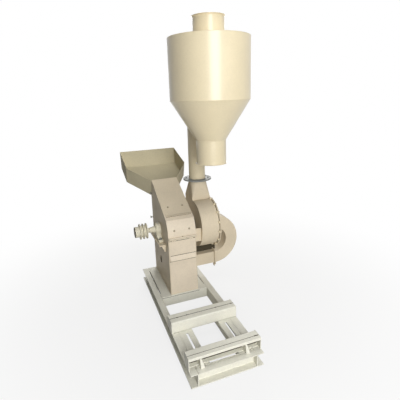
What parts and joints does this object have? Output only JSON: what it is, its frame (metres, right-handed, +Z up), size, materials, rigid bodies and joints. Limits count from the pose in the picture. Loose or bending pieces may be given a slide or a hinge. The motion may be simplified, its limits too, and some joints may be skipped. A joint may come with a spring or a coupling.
{
  "type": "flour mill",
  "caption": "Flour mill on a channel frame: hammer rotor in a hinged mill body with a feed hopper, suction fan, riser pipe and cyclone.",
  "frame": {"origin": "on the floor, at the middle of the front channel's bottom flange", "axes": "+X to the fan's side, +Y from the motor end back to the hopper, +Z up"},
  "size_m": [1.125, 2.4032, 2.702],
  "materials": {
    "paint_cream": "gloss",
    "paint_grey": "satin",
    "cast_paint": "satin",
    "galvanised": "satin",
    "bare_steel": "satin"
  },
  "bodies": {
    "frame": {"rail_left": "paint_grey", "rail_right": "paint_grey", "front_channel": "paint_grey", "rear_channel": "paint_grey", "cross_channels": "paint_grey", "base_plate": "paint_cream", "motor_rail_left": "paint_grey", "motor_rail_right": "paint_grey", "rear_beam_front": "paint_grey", "rear_beam_back": "paint_grey", "front_beam": "paint_grey", "front_beam_lip": "paint_grey", "beam_gussets": "paint_grey", "stand_left": "paint_cream", "stand_right": "paint_cream", "stand_back": "paint_cream", "stand_front": "paint_cream", "stand_flange": "paint_cream", "door_pin": "galvanised", "screen": "bare_steel", "screen_rails": "paint_grey", "bearing_shelf_left": "paint_cream", "bearing_shelf_right": "paint_cream", "pillow_block_left": "cast_paint", "pillow_block_right": "cast_paint", "bearing_inserts": "bare_steel", "bearing_cap": "cast_paint", "casing_bolts": "galvanised", "hinge_pin": "galvanised", "fan_casing": "paint_cream", "fan_cover": "paint_cream", "fan_transition": "paint_cream", "suction_duct": "paint_cream", "suction_bend": "paint_cream", "pipe_flanges": "galvanised", "riser_pipe": "paint_cream", "riser_elbow": "paint_cream", "cyclone_barrel": "paint_cream", "cyclone_cone": "paint_cream", "cyclone_outlet": "paint_cream"},
    "rotor": {"rotor_shaft": "bare_steel", "drive_pulley": "cast_paint", "rotor_discs": "bare_steel", "hammer_pins": "bare_steel", "hammer_spacers": "bare_steel", "impeller": "bare_steel", "shaft_nut": "bare_steel"},
    "hammer_row_1": {"hammers_1": "bare_steel"},
    "hammer_row_2": {"hammers_2": "bare_steel"},
    "hammer_row_3": {"hammers_3": "bare_steel"},
    "hammer_row_4": {"hammers_4": "bare_steel"},
    "hood": {"hood_left": "paint_cream", "hood_right": "paint_cream", "hood_back": "paint_cream", "hood_front_cover": "paint_cream", "chute_cover": "paint_cream", "hood_bolts": "galvanised", "hopper": "paint_cream"},
    "gate": {"feed_gate": "galvanised"},
    "door": {"screen_door": "paint_cream"}
  },
  "joints": [
    {"name": "rotor_turn", "type": "hinge", "parent": "frame", "child": "rotor", "pos_m": [0, 1.3305, 0.711], "axis": [1, 0, 0], "continuous": true},
    {"name": "hammer_row_1_swing", "type": "hinge", "parent": "rotor", "child": "hammer_row_1", "pos_m": [0.0025, 1.44364, 0.82414], "axis": [1, 0, 0], "continuous": true},
    {"name": "hammer_row_2_swing", "type": "hinge", "parent": "rotor", "child": "hammer_row_2", "pos_m": [0.0025, 1.21736, 0.82414], "axis": [1, 0, 0], "continuous": true},
    {"name": "hammer_row_3_swing", "type": "hinge", "parent": "rotor", "child": "hammer_row_3", "pos_m": [0.0025, 1.21736, 0.59786], "axis": [1, 0, 0], "continuous": true},
    {"name": "hammer_row_4_swing", "type": "hinge", "parent": "rotor", "child": "hammer_row_4", "pos_m": [0.0025, 1.44364, 0.59786], "axis": [1, 0, 0], "continuous": true},
    {"name": "hood_lift", "type": "hinge", "parent": "frame", "child": "hood", "pos_m": [0.0025, 1.6715, 0.728], "axis": [-1, 0, 0], "range_deg": [0, 60]},
    {"name": "gate_slide", "type": "slide", "parent": "hood", "child": "gate", "axis": [-1, 0, 0], "range_m": [0, 0.25]},
    {"name": "door_lift", "type": "hinge", "parent": "frame", "child": "door", "pos_m": [0.0025, 1.0075, 0.693], "axis": [-1, 0, 0], "range_deg": [0, 80]}
  ]
}
